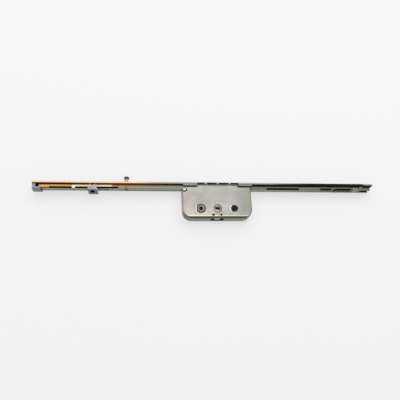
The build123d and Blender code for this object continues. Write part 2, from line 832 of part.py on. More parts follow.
# Faceplate: cam slot, mortises for the lugs, screw holes and seats for the guide pieces.
# Its edges are relieved over the tongue of the case and stiffened by a strip on each side of it.
end_block_right_x = rail_left_x + end_block_length
ear_xs = [ear_x - ear_spread / 2, ear_x + ear_spread / 2]
end_ear_x = rail_left_x + end_ear_width / 2
tenon_z = half_rod + side_clearance + tenon_inset + tenon_height / 2
end_tenon_z = half_rod + side_clearance + (end_block_height - half_rod - side_clearance) / 2
end_tenon_height = end_block_height - half_rod - side_clearance
cam_reach = cam_neck_radius + cam_offset + side_clearance
with BuildPart() as faceplate:
    with BuildSketch(Plane.YZ.offset(rail_left_x)):
        with Locations((plate_back_y + faceplate_thickness / 2, 0)):
            RectangleRounded(faceplate_thickness, faceplate_width, faceplate_edge)
    extrude(amount=rail_right_x - rail_left_x)
    with BuildSketch(front_plane):
        with Locations((cam_x - travel / 2, 0)):
            SlotOverall(travel + 2 * cam_reach, 2 * cam_reach)
        with Locations(*[(x, z) for x in lug_xs for z in (half_case - sheet / 2, sheet / 2 - half_case)]):
            Rectangle(lug_width + 2 * seat_gap, sheet + 2 * seat_gap)
        with Locations(*[(x, z) for x in ear_xs for z in (-tenon_z, tenon_z)]):
            Rectangle(tenon_width + 2 * press_gap, tenon_height + 2 * press_gap)
        with Locations((end_ear_x, -end_tenon_z), (end_ear_x, end_tenon_z)):
            Rectangle(end_tenon_width + 2 * press_gap, end_tenon_height + 2 * press_gap)
        with Locations((guide_stud_x, 0)):
            Circle(guide_stud_tenon + press_gap)
    extrude(amount=-faceplate_thickness, mode=Mode.SUBTRACT)
    relief_start_x = tongue_x - tongue_width / 2 - tongue_gap
    relief_end_x = tongue_x + tongue_width / 2 + tongue_gap
    strip_back_y = plate_back_y - edge_strip_drop
    strip_low_z = half_plate - edge_strip_width
    for side in (-1, 1):
        with BuildSketch(Plane.XY.offset(side * strip_low_z)):
            span(relief_start_x, relief_end_x, plate_back_y, plate_back_y + edge_relief_depth)
        extrude(amount=side * edge_strip_width, mode=Mode.SUBTRACT)
        with BuildSketch(Plane.XY.offset(side * strip_low_z)):
            for start_x in (relief_start_x - edge_strip_length, relief_end_x):
                span(start_x, start_x + edge_strip_length, strip_back_y, plate_back_y)
        extrude(amount=side * (edge_strip_width - faceplate_edge))
    with Locations(*[front_plane * Pos(x, 0, 0) for x in plate_screw_xs]):
        CounterSinkHole(plate_screw_radius, plate_screw_head, counter_sink_angle=plate_screw_angle)
finish(faceplate, "faceplate")


def channel_cut(low_x, high_x):
    """Room for a rod in a guide block, with its side clearance."""
    with BuildPart() as room:
        with BuildSketch(Plane.YZ.offset(low_x)):
            half_room = half_rod + side_clearance
            span(rod_back_y - clearance, plate_back_y, -half_room, half_room)
        extrude(amount=high_x - low_x)
    return room.part


def plate_tenons(stations_x, width, z, height):
    """Tenons of a guide block in the faceplate, flush with its front."""
    with BuildPart() as tenons:
        with BuildSketch(front_plane.offset(-lug_recess)):
            with Locations(*[(x, side * z) for x in stations_x for side in (-1, 1)]):
                Rectangle(width, height)
        extrude(amount=lug_recess - faceplate_thickness)
    return tenons.part


# Guide block behind the left rod: tapered casting with two ears on each side
with BuildPart() as guide_block:
    block_back_y = rod_back_y - block_back_step
    block_lip_y = rod_back_y + block_lip_step
    with BuildSketch():
        with BuildLine():
            Polyline(
                (block_left_x, block_back_y),
                (block_right_x, block_back_y),
                (block_right_x, block_back_y + block_taper_rise),
                (block_right_x - block_taper, block_lip_y),
                (block_left_x, block_lip_y),
                close=True,
            )
        make_face()
    extrude(amount=half_plate, both=True)
    corner_edges = guide_block.edges().filter_by(Axis.Y)
    chamfer(corner_edges.group_by(Axis.X)[-1], length=block_chamfer)
    back_edges = guide_block.faces().sort_by(Axis.Y)[0].edges().filter_by(Axis.X)
    chamfer(back_edges, length=block_chamfer / 2)
    with BuildSketch():
        for x in ear_xs:
            span(x - ear_width / 2, x + ear_width / 2, block_lip_y - block_lip_step, plate_back_y)
    extrude(amount=half_plate, both=True)
    add(channel_cut(block_left_x, block_right_x), mode=Mode.SUBTRACT)
    add(plate_tenons(ear_xs, tenon_width, tenon_z, tenon_height))
    with BuildSketch(front_plane.offset(rod_back_y - plate_front_y)):
        with Locations((plate_screw_left_x, -block_slot_rise)):
            SlotOverall(block_slot_length, block_slot_width, rotation=90)
    extrude(amount=-block_back_step, mode=Mode.SUBTRACT)
finish(guide_block, "guide_block")

# Guide block at the left end: low sleeve behind the rod, with an ear to the faceplate on each side
with BuildPart() as end_guide_block:
    end_back_y = rod_back_y - end_block_back_step
    end_lip_y = rod_back_y + end_block_lip_step
    with BuildSketch():
        with BuildLine():
            Polyline(
                (rail_left_x, end_back_y),
                (end_block_right_x, end_back_y),
                (end_block_right_x - end_block_slant, end_lip_y),
                (rail_left_x + end_ear_width, end_lip_y),
                (rail_left_x + end_ear_width, plate_back_y),
                (rail_left_x, plate_back_y),
                close=True,
            )
        make_face()
    extrude(amount=end_block_height, both=True)
    end_edges = end_guide_block.faces().sort_by(Axis.Y)[0].edges().filter_by(Axis.X)
    chamfer(end_edges, length=end_block_back_step / 2)
    add(channel_cut(rail_left_x, end_block_right_x), mode=Mode.SUBTRACT)
    add(plate_tenons([end_ear_x], end_tenon_width, end_tenon_z, end_tenon_height))
finish(end_guide_block, "end_guide_block")

# Guide stud of the right rod: riveted in the faceplate, its head behind the web
with BuildPart() as guide_stud:
    head_front_y = rod_back_y - clearance
    add(
        turned_y(
            [
                (guide_stud_tenon, plate_back_y, plate_front_y - lug_recess),
                (guide_stud_collar, rod_floor_y + clearance, plate_back_y),
                (guide_stud_neck, head_front_y, rod_floor_y + clearance),
                (guide_stud_head, head_front_y - guide_stud_head_height, head_front_y),
            ],
            guide_stud_x,
        )
    )
finish(guide_stud, "guide_stud")
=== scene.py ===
import math

import bmesh
import bpy
from mathutils import Euler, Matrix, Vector


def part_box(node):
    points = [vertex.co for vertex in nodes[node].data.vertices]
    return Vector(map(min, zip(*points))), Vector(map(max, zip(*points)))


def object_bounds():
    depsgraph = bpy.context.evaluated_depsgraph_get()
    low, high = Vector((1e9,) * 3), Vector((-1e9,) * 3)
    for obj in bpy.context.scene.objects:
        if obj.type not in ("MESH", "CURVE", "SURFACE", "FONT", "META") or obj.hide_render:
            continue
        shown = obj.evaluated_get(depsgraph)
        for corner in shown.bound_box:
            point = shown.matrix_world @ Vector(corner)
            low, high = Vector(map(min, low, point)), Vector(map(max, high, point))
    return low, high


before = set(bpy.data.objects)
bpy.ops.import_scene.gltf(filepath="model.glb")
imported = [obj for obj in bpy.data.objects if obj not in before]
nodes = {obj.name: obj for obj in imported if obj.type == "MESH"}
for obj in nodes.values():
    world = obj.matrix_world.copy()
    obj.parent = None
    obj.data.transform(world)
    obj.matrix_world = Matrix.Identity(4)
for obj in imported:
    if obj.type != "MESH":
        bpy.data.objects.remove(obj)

cad_low, cad_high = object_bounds()

# Lengths are in metres. X runs along the rail, Y toward the faceplate's front and Z up from the table
MM = 0.001
EDGE = 0.2 * MM  # half the width of the usual soft edge between two finishes

# Boxes of the pieces that the finishes are placed by
plate_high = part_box("faceplate")[1]
rod_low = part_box("drive_rod_left")[0]
cover_low, cover_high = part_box("case_cover")
sleeve_low, sleeve_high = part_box("handle_sleeve_left")
block_low, block_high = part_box("guide_block")
end_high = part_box("end_guide_block")[1]
dome_low, dome_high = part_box("corner_rivet")
tab_low, tab_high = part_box("spring_holder")

# Places on the object
PLATE_BACK = plate_high.y - 2.5 * MM
TONGUE_X = 1.6 * MM
TONGUE_HALF = 26.0 * MM
LUG_PITCH = 15.6 * MM
LUG_XS = (TONGUE_X - LUG_PITCH, TONGUE_X, TONGUE_X + LUG_PITCH)
PLATE_SCREW_X = -157.0 * MM
CAM_X = -115.2 * MM
LEFT_HANDLE_X = (sleeve_low.x + sleeve_high.x) / 2
RIGHT_HANDLE_X = -LEFT_HANDLE_X

# Where the colour of the plating changes along the left rod, and the brown of the painted shade on the strip
# behind it
GOLD_END_X = -182.0 * MM
GOLD_SOFT = 0.4 * MM
EMBER_START_X = -133.1 * MM


def srgb(red, green, blue):
    """A colour as seen on screen, 0 to 255, in the linear values that shaders take."""
    return tuple((c / 255 / 12.92) if c <= 10 else ((c / 255 + 0.055) / 1.055) ** 2.4
                 for c in (red, green, blue)) + (1.0,)


class Shader:
    """A procedural material, built up one node at a time in the object's own coordinates."""

    def __init__(self, name, roughness=0.45, metallic=0.8):
        self.material = bpy.data.materials.new(name)
        self.material.use_nodes = True
        self.tree = self.material.node_tree
        self.surface = self.tree.nodes["Principled BSDF"]
        self.surface.inputs["Roughness"].default_value = roughness
        self.surface.inputs["Metallic"].default_value = metallic
        self.place = self.tree.nodes.new("ShaderNodeTexCoord").outputs["Object"]

    def put(self, socket, value):
        """Link an output to a socket, or set the socket's own value."""
        if isinstance(value, bpy.types.NodeSocket):
            self.tree.links.new(value, socket)
        else:
            socket.default_value = value

    def math(self, operation, first, second=0.0):
        node = self.tree.nodes.new("ShaderNodeMath")
        node.operation = operation
        self.put(node.inputs[0], first)
        self.put(node.inputs[1], second)
        return node.outputs[0]

    def plus(self, first, second):
        return self.math("ADD", first, second)

    def minus(self, first, second):
        return self.math("SUBTRACT", first, second)

    def times(self, first, *others):
        product = first
        for other in others:
            product = self.math("MULTIPLY", product, other)
        return product

    def most(self, first, second):
        return self.math("MAXIMUM", first, second)

    def rest(self, share):
        """What a share leaves of 1."""
        return self.minus(1.0, share)

    def away(self, value, middle=0.0):
        """How far a value lies to either side of a middle."""
        return self.math("ABSOLUTE", self.minus(value, middle))

    def vector(self, operation, first, second):
        node = self.tree.nodes.new("ShaderNodeVectorMath")
        node.operation = operation
        self.put(node.inputs[0], first)
        self.put(node.inputs[1], second)
        return node.outputs["Value" if operation == "LENGTH" else "Vector"]

    def split(self, vector, letter):
        node = self.tree.nodes.new("ShaderNodeSeparateXYZ")
        self.put(node.inputs[0], vector)
        return node.outputs[letter]

    def axis(self, letter):
        """The place along an axis, in metres."""
        return self.split(self.place, letter)

    def facing(self, letter):
        """How far the surface faces along an axis, from -1 to 1."""
        return self.split(self.tree.nodes.new("ShaderNodeNewGeometry").outputs["Normal"], letter)

    def radius(self, centre):
        """The distance from a centre in X and Y, the same at every height."""
        offset = self.vector("SUBTRACT", self.place, (*centre, 0))
        return self.vector("LENGTH", self.vector("MULTIPLY", offset, (1, 1, 0)), (0, 0, 0))

    def noise(self, scale, stretch=(1, 1, 1), detail=3.0, roughness=0.6):
        """Noise from 0 to 1. scale is in features a metre, stretched by the three shares."""
        node = self.tree.nodes.new("ShaderNodeTexNoise")
        self.put(node.inputs["Vector"], self.vector("MULTIPLY", self.place, stretch))
        self.put(node.inputs["Scale"], scale)
        self.put(node.inputs["Detail"], detail)
        self.put(node.inputs["Roughness"], roughness)
        return node.outputs["Fac"]

    def between(self, value, low, high, start=0.0, end=1.0, smooth=True):
        """A value that goes from start at low to end at high, and stays there outside."""
        node = self.tree.nodes.new("ShaderNodeMapRange")
        node.interpolation_type = "SMOOTHSTEP" if smooth else "LINEAR"
        self.put(node.inputs["Value"], value)
        self.put(node.inputs["From Min"], low)
        self.put(node.inputs["From Max"], high)
        self.put(node.inputs["To Min"], start)
        self.put(node.inputs["To Max"], end)
        return node.outputs["Result"]

    def above(self, value, limit, soft=EDGE):
        """1 above a limit and 0 below it, by way of a soft edge of that half width."""
        return self.between(value, limit - soft, limit + soft)

    def below(self, value, limit, soft=EDGE):
        """1 below a limit and 0 above it, by way of a soft edge of that half width."""
        return self.between(value, limit - soft, limit + soft, 1.0, 0.0)

    def within(self, value, low, high, soft=EDGE):
        """1 from low to high and 0 outside, with a soft edge at both."""
        return self.times(self.above(value, low, soft), self.below(value, high, soft))

    def near(self, centre, reach, soft=EDGE):
        """1 within reach of a centre in X and Y and 0 past it, with a soft edge."""
        return self.below(self.radius(centre), reach, soft)

    def mix(self, share, first, second, blend="MIX"):
        node = self.tree.nodes.new("ShaderNodeMix")
        node.data_type = "RGBA"
        node.blend_type = blend
        self.put(node.inputs["Factor"], share)
        self.put(node.inputs["A"], first)
        self.put(node.inputs["B"], second)
        return node.outputs["Result"]

    def mottle(self, pattern, dark, light):
        """A colour that wanders from dark to light with a noise pattern."""
        return self.mix(self.between(pattern, 0.35, 0.65), dark, light)

    def grey(self, value):
        """A value as a grey colour."""
        node = self.tree.nodes.new("ShaderNodeCombineColor")
        for channel in ("Red", "Green", "Blue"):
            self.put(node.inputs[channel], value)
        return node.outputs["Color"]

    def colour(self, value):
        self.put(self.surface.inputs["Base Color"], value)

    def rough(self, pattern, smoothest, roughest):
        """Roughness that wanders between two values with a noise pattern."""
        roughness = self.between(pattern, 0.3, 0.7, smoothest, roughest)
        self.put(self.surface.inputs["Roughness"], roughness)

    def dull(self, share):
        """Take the metal's shine away where share is 1."""
        metallic = self.surface.inputs["Metallic"].default_value
        shine = self.between(share, 0.0, 1.0, metallic, 0.0, smooth=False)
        self.put(self.surface.inputs["Metallic"], shine)
        self.surface.inputs["Specular IOR Level"].default_value = 0.0

    def bump(self, height, depth):
        node = self.tree.nodes.new("ShaderNodeBump")
        self.put(node.inputs["Height"], height)
        node.inputs["Distance"].default_value = depth
        node.inputs["Strength"].default_value = 1.0
        self.put(self.surface.inputs["Normal"], node.outputs["Normal"])


def brushed(shader, colour, lighter=1.12, darker=0.82):
    """Fine lines along the rail over a faint mottle, as rolled and plated strip has."""
    lines = shader.noise(900, stretch=(0.02, 1, 1), detail=4)
    blotches = shader.noise(160, stretch=(0.6, 1, 1), detail=5, roughness=0.65)
    fine_lines = shader.noise(2600, stretch=(0.15, 1, 1), detail=2)
    tone = shader.plus(shader.times(lines, 0.5), shader.times(blotches, 0.5))
    shade = shader.between(tone, 0.35, 0.65, darker, lighter)
    shader.rough(blotches, 0.34, 0.52)
    shader.bump(shader.plus(lines, fine_lines), 0.02 * MM)
    return shader.mix(1.0, colour, shader.grey(shade), "MULTIPLY")


def faceplate_material():
    """Rolled strip: bright edges, painted shade on its back, and a yellowed left end.

    The painted shade reaches over the lower part of the edges toward the right, and covers them over the
    tongue of the case; it is brown toward the left end, and bright spots on the edge stand for the case's lug
    tips, partly painted highlights.
    """
    wander = 6.0 * MM
    yellow_end_x, yellow_soft = -81.0 * MM, 19.0 * MM
    brown_end_x, brown_soft = -68.0 * MM, 28.0 * MM
    shade_reach_start_x, shade_reach_full_x = 45.0 * MM, 160.0 * MM
    shade_reach_end_x, shade_reach_end_soft = 201.0 * MM, 4.0 * MM
    shade_reach_least, shade_reach_most = 0.1 * MM, 2.4 * MM
    tongue_reach = 3.0 * MM  # past the strip's front, so that the painted shade covers the whole edge
    tongue_soft = 0.5 * MM
    shade_edge_soft = 0.2 * MM
    back_edge, back_soft = -0.05 * MM, 0.05 * MM
    pale_band_height, pale_band_soft = 1.05 * MM, 0.15 * MM
    lug_half, lug_soft = 1.6 * MM, 0.4 * MM
    tip_fade_low, tip_fade_high = 1.7 * MM, 2.0 * MM

    shader = Shader("faceplate_plating", metallic=0.75)
    x = shader.axis("X")
    height = shader.minus(shader.axis("Y"), PLATE_BACK)
    shift = shader.between(shader.noise(30, stretch=(1, 0.2, 0.2)), 0.3, 0.7, -wander, wander)
    along = shader.plus(x, shift)
    front = shader.between(shader.facing("Y"), 0.3, 0.6)
    # Painted shade: dark on the back faces, brown toward the left end, and reaching over the lower part of
    # the edges
    back = shader.between(shader.facing("Y"), -0.6, -0.4, 1.0, 0.0)
    yellowed = shader.mix(front, srgb(244, 204, 170), srgb(206, 184, 150))
    edge = shader.mix(shader.below(along, yellow_end_x, yellow_soft), srgb(166, 165, 158), yellowed)
    browned = shader.mix(shader.below(x, GOLD_END_X, GOLD_SOFT), srgb(120, 66, 16), srgb(92, 26, 4))
    back_shade = shader.mix(shader.below(along, brown_end_x, brown_soft), srgb(50, 48, 36), browned)

    tongue = shader.below(shader.away(x, TONGUE_X), TONGUE_HALF + tongue_soft, tongue_soft)
    # Over the tongue the painted shade is paler in a band next to the back
    pale_band = shader.times(tongue, shader.below(height, pale_band_height, pale_band_soft), 0.75)
    back_shade = shader.mix(pale_band, back_shade, srgb(150, 148, 138))
    shade_reach = shader.times(shader.between(along, shade_reach_start_x, shade_reach_full_x, shade_reach_least, shade_reach_most),
                         shader.below(along, shade_reach_end_x, shade_reach_end_soft))
    reach = shader.most(shade_reach, shader.times(tongue, tongue_reach))
    shaded_edge = shader.times(shader.below(shader.minus(height, reach), shade_edge_soft),
                         shader.above(height, back_edge, back_soft),
                         shader.rest(front))
    shade_share = shader.most(back, shaded_edge)
    shader.dull(shade_share)
    colour = shader.mix(shade_share, edge, back_shade)
    # Bright spots for the case's lug tips on the edge, partly painted highlights, fading toward the front
    for lug_x in LUG_XS:
        lug_tip_highlight = shader.times(shader.below(shader.away(x, lug_x), lug_half, lug_soft),
                              shader.above(height, pale_band_height, pale_band_soft),
                              shader.between(height, tip_fade_low, tip_fade_high, 1.0, 0.25),
                              shader.rest(front))
        colour = shader.mix(lug_tip_highlight, colour, srgb(232, 232, 226))
    shader.colour(brushed(shader, colour))
    return shader.material


def rod_material():
    """Rolled rod: its sides carry golden bands at the left, and its back stays grey-green; painted shade
    darkens its channel, its back toward the table and a dent beside the cam.
    """
    side_z, side_soft = 4.42 * MM, 0.04 * MM
    inside_z, inside_soft = 4.10 * MM, 0.05 * MM
    inside_height, screw_dark_height, height_soft = 0.2 * MM, 0.3 * MM, 0.1 * MM
    worn_x, worn_soft = -103.0 * MM, 21.0 * MM
    grey_soft = 20.0 * MM
    ember_low, foot_high, band_soft = 3.0 * MM, 1.6 * MM, 0.4 * MM
    olive_x, olive_soft = 125.0 * MM, 45.0 * MM
    shade_z, shade_soft = -1.5 * MM, 1.9 * MM
    shade_start_x, shade_full_x = -150.0 * MM, -50.0 * MM
    shade_end_x, shade_end_soft = -5.0 * MM, 25.0 * MM
    dent_shade_centre = (CAM_X - 0.5 * MM, rod_low.y + 1.8 * MM)
    dent_shade_radius, dent_shade_soft = 0.95 * MM, 0.35 * MM
    screw_dark_half, dark_edge_soft = 4.0 * MM, 0.5 * MM
    bend_z, bend_height = 3.1 * MM, 0.4 * MM
    shaded_bends = ((67.0 * MM, 111.0 * MM), (140.4 * MM, 154.8 * MM), (158.4 * MM, 184.2 * MM))

    shader = Shader("rod_plating", metallic=0.75)
    x = shader.axis("X")
    z = shader.axis("Z")
    height = shader.minus(shader.axis("Y"), rod_low.y)
    from_middle = shader.away(z)
    side = shader.above(from_middle, side_z, side_soft)
    # The pale band between the gold and the ember is plating raised near white, partly a painted highlight
    gold = shader.mix(shader.above(x, GOLD_END_X, GOLD_SOFT), srgb(250, 198, 124), srgb(255, 253, 222))
    ember = shader.above(x, EMBER_START_X, GOLD_SOFT)
    bands = shader.mix(ember, gold, srgb(216, 134, 78))
    bands = shader.mix(shader.above(x, worn_x, worn_soft), bands, srgb(150, 144, 126))
    below_ember = shader.times(ember, shader.below(height, ember_low, band_soft))
    bands = shader.mix(below_ember, bands, srgb(150, 153, 134))
    foot = shader.times(shader.below(x, GOLD_END_X, GOLD_SOFT), shader.below(height, foot_high, band_soft))
    bands = shader.mix(foot, bands, srgb(92, 86, 66))
    sides = shader.mix(shader.above(x, 0.0, grey_soft), bands, srgb(124, 123, 113))

    # The back darkens toward the table, most of all near the case
    back = shader.mix(shader.above(x, olive_x, olive_soft), srgb(158, 159, 144), srgb(116, 118, 86))
    shaded = shader.times(shader.below(z, shade_z, shade_soft),
                          shader.between(x, shade_start_x, shade_full_x, 0.45, 0.85),
                          shader.below(x, shade_end_x, shade_end_soft))
    back = shader.mix(shaded, back, srgb(84, 84, 70))
    outside = brushed(shader, shader.mix(side, back, sides))
    # Painted shade of a dent in the side beside the cam
    dent_shade = shader.times(side, shader.near(dent_shade_centre, dent_shade_radius, dent_shade_soft), 0.9)
    outside = shader.mix(dent_shade, outside, srgb(46, 40, 32))

    # Dark: painted shade in the channel's inside and along the bend at the right windows, and a darker mark
    # on the back's lower edge at the left screw
    inside = shader.times(shader.below(from_middle, inside_z, inside_soft),
                          shader.above(height, inside_height, height_soft))
    screw_dark = shader.times(shader.below(shader.away(x, PLATE_SCREW_X), screw_dark_half, dark_edge_soft),
                          shader.below(height, screw_dark_height, height_soft))
    dark = shader.most(inside, screw_dark)
    bend = shader.times(shader.above(z, bend_z), shader.below(height, bend_height))
    for low_x, high_x in shaded_bends:
        dark = shader.most(dark, shader.times(bend, shader.within(x, low_x, high_x), 0.9))
    shader.colour(shader.mix(dark, outside, srgb(22, 20, 12)))
    shader.dull(dark)
    return shader.material


def case_face(shader, x, y, z, inward):
    """The case's pale face, with a painted cream highlight and then painted olive shade on the rounded edge
    along its rear, and painted shade along its right edge.

    inward is the distance from the case's rear.
    """
    pink_end_x, pink_soft = -25.0 * MM, 17.0 * MM
    green_start_x, green_soft = 35.0 * MM, 13.0 * MM
    cream_end_y, cream_soft = 1.0 * MM, 11.0 * MM
    shady_x, shady_x_soft = 26.0 * MM, 8.0 * MM
    shady_y, shady_y_soft = -6.0 * MM, 4.0 * MM
    line_low, line_high, line_high_soft = 2.5 * MM, 3.75 * MM, 0.45 * MM
    line_fade_x, line_fade_soft = 10.0 * MM, 30.0 * MM
    top_z, top_soft = 5.45 * MM, 0.25 * MM
    right_edge_x, right_edge_soft = cover_high.x - 3.0 * MM, 1.6 * MM
    olive_high = 2.3 * MM

    tint = shader.mix(shader.above(x, pink_end_x, pink_soft), srgb(202, 190, 181), srgb(186, 184, 180))
    tint = shader.mix(shader.above(x, green_start_x, green_soft), tint, srgb(176, 177, 160))
    creamy = shader.times(shader.below(y, cream_end_y, cream_soft), 0.9)
    tint = shader.mix(creamy, tint, srgb(210, 206, 190))
    cloud = shader.noise(42, stretch=(1, 1, 0.3), detail=4, roughness=0.55)
    tint = shader.mix(shader.between(cloud, 0.35, 0.7), tint, srgb(172, 170, 163))
    shady = shader.times(shader.above(x, shady_x, shady_x_soft), shader.above(y, shady_y, shady_y_soft), 0.6)
    tint = shader.mix(shady, tint, srgb(152, 151, 142))

    face = brushed(shader, tint, lighter=1.06, darker=0.92)
    specks = shader.noise(330, stretch=(1, 1, 0.2), detail=2, roughness=0.5)
    face = shader.mix(shader.between(specks, 0.70, 0.76, 0.0, 0.45), face, srgb(128, 124, 112))
    # Painted highlight: a cream line just inside the rounded rear edge, duller toward the right
    line = shader.times(shader.above(inward, line_low), shader.below(inward, line_high, line_high_soft),
                        shader.above(z, top_z, top_soft))
    line_colour = shader.mix(shader.above(x, line_fade_x, line_fade_soft),
                             srgb(242, 239, 224), srgb(212, 212, 190))
    face = shader.mix(line, face, line_colour)
    # Painted shade where the face rounds over at its right edge
    right_edge = shader.times(shader.above(x, right_edge_x, right_edge_soft), 0.75)
    face = shader.mix(right_edge, face, srgb(150, 154, 132))
    # Painted olive shade on the rounded rear edge
    return shader.mix(shader.below(inward, olive_high), face, srgb(92, 91, 68))


def case_walls(shader, face, z):
    """The case's walls round its face, each toned by the way it faces, with painted shade along the rear
    wall's top and bottom and where the left wall turns to the rear.
    """
    seam_z, seam_soft = -0.5 * MM, 0.7 * MM
    shadow_z, shadow_soft = 4.05 * MM, 0.25 * MM
    foot_z, foot_soft = -5.2 * MM, 0.4 * MM

    rear = shader.below(shader.facing("Y"), -0.30, 0.15)
    right = shader.above(shader.facing("X"), 0.325, 0.175)
    left = shader.below(shader.facing("X"), -0.325, 0.175)
    wall = shader.mix(shader.above(z, seam_z, seam_soft), srgb(140, 137, 141), srgb(152, 156, 136))
    wall = shader.mix(shader.above(z, shadow_z, shadow_soft), wall, srgb(86, 85, 60))
    # Painted shade along the wall's bottom edge, next to the table
    wall = shader.mix(shader.below(z, foot_z, foot_soft), wall, srgb(84, 81, 80))
    outside = shader.mix(rear, face, brushed(shader, wall, lighter=1.05, darker=0.9))
    outside = shader.mix(right, outside, srgb(160, 164, 142))
    # The left wall turns darker brown where it faces the rear, a painted shade
    return shader.mix(left, outside, shader.mix(rear, srgb(186, 172, 158), srgb(124, 110, 92)))


def case_material():
    """Plated sheet: a pale clouded face, darker walls, painted shade round the lugs, in the rear notch and
    round the openings, and painted highlights by the handle holes.
    """
    lug_low, mark_soft = PLATE_BACK - 1.05 * MM, 0.15 * MM
    notch_x, notch_half = -0.5 * MM, 8.15 * MM
    notch_depth, notch_z = 2.8 * MM, 3.0 * MM
    rim_depth = 2.95 * MM
    jig_y = -8.7 * MM
    # Centre, reach, soft edge and colour
    rims = (
        ((-6.1 * MM, jig_y), 1.675 * MM, 0.075 * MM, srgb(8, 6, 2)),
        ((4.1 * MM, jig_y), 1.475 * MM, 0.125 * MM, srgb(56, 56, 36)),
        ((LEFT_HANDLE_X, 0), 6.25 * MM, 0.15 * MM, srgb(84, 82, 72)),
        ((RIGHT_HANDLE_X + 0.3 * MM, 0), 4.8 * MM, 0.2 * MM, srgb(110, 108, 96)),
    )
    # Painted highlights: light crescents on the left of the handle holes
    # Hole's X, reach, soft edge, right end from the hole's middle, and colour
    crescents = (
        (RIGHT_HANDLE_X, 5.4 * MM, 0.2 * MM, -3.2 * MM, srgb(255, 254, 248)),
        (LEFT_HANDLE_X, 6.9 * MM, 0.3 * MM, -5.4 * MM, srgb(250, 246, 238)),
    )
    crescent_soft = 0.4 * MM

    shader = Shader("case_plating", metallic=0.7)
    x = shader.axis("X")
    y = shader.axis("Y")
    z = shader.axis("Z")
    inward = shader.minus(y, cover_low.y)
    outside = case_walls(shader, case_face(shader, x, y, z, inward), z)

    # Painted shade on the lugs' sides and in the notch at the rear
    lugs = shader.times(shader.above(y, lug_low, mark_soft), 0.7)
    notch = shader.times(shader.below(shader.away(x, notch_x), notch_half, mark_soft),
                         shader.below(inward, notch_depth), shader.below(z, notch_z))
    outside = shader.mix(shader.most(lugs, notch), outside, srgb(44, 42, 30))

    # Painted shade round the round openings in the cover, and painted highlights on the left of the handle
    # holes
    for centre, reach, soft, colour in rims:
        spot = shader.times(shader.near(centre, reach, soft), shader.above(inward, rim_depth, mark_soft))
        outside = shader.mix(spot, outside, colour)
    for hole_x, reach, soft, right_end, colour in crescents:
        crescent = shader.times(shader.near((hole_x, 0), reach, soft),
                                shader.below(x, hole_x + right_end, crescent_soft))
        outside = shader.mix(crescent, outside, colour)
    shader.colour(outside)
    return shader.material


def casting_material(name, light, dark, back, slant, touch):
    """Die casting: grainy, toned by the way each face turns with painted light and shade, and with painted
    shade in its screw bore.
    """
    bore_half, bore_soft = 2.6 * MM, 0.05 * MM
    bore_top_z, bore_top_y = 7.6 * MM, 26.8 * MM

    shader = Shader(name, metallic=0.45)
    skin = shader.noise(420, detail=5)
    grain = shader.noise(2400, detail=3)
    colour = shader.mottle(skin, dark, light)
    # Painted light and shade: faces turned back and slanting faces get their own tones
    colour = shader.mix(shader.below(shader.facing("Y"), -0.4, 0.2), colour, back)
    colour = shader.mix(shader.above(shader.facing("X"), 0.425, 0.175), colour, slant)
    # Painted shade on the walls of the screw bore
    bore = shader.times(shader.below(shader.away(shader.axis("X"), PLATE_SCREW_X), bore_half, bore_soft),
                        shader.below(shader.away(shader.facing("Y")), 0.4, 0.1),
                        shader.below(shader.axis("Z"), bore_top_z),
                        shader.below(shader.axis("Y"), bore_top_y))
    shader.colour(touch(shader, shader.mix(bore, colour, srgb(20, 18, 18))))
    shader.rough(grain, 0.5, 0.68)
    shader.bump(shader.plus(grain, skin), 0.06 * MM)
    return shader.material


def guide_touch(shader, colour):
    """Guide block: a painted highlight along its slanting edge, tan feet of the ears, and painted brown shade
    on the ears above them.
    """
    corner_height, taper = 1.1 * MM, 0.906
    shine_width, shine_height = 1.0 * MM, 4.4 * MM
    feet_height, ears_height = 4.8 * MM, 7.6 * MM

    height = shader.minus(shader.axis("Y"), block_low.y)
    lean = shader.times(shader.minus(height, corner_height), taper)
    from_slant = shader.plus(shader.minus(shader.axis("X"), block_high.x), lean)
    flat = shader.above(shader.facing("Z"), 0.5, 0.1)
    shine = shader.times(shader.above(from_slant, -shine_width), flat, shader.below(height, shine_height))
    colour = shader.mix(shine, colour, srgb(240, 240, 248))
    feet = shader.times(shader.above(height, feet_height), 0.75)
    colour = shader.mix(feet, colour, srgb(208, 198, 158))
    # Painted brown shade on the ears above their feet, next to the strip's back
    return shader.mix(shader.above(height, ears_height), colour, srgb(82, 48, 24))


def end_touch(shader, colour):
    """End block: a dark line down its right side."""
    line_width = 1.4 * MM
    line = shader.above(shader.axis("X"), end_high.x - line_width)
    return shader.mix(line, colour, srgb(74, 76, 70))


def gear_material():
    """Cast gear with a faintly blotched skin."""
    shader = Shader("gear_casting", metallic=0.7)
    skin = shader.noise(500, detail=4)
    shader.colour(shader.mottle(skin, srgb(172, 166, 150), srgb(206, 200, 184)))
    shader.rough(skin, 0.36, 0.55)
    shader.bump(skin, 0.03 * MM)
    return shader.material


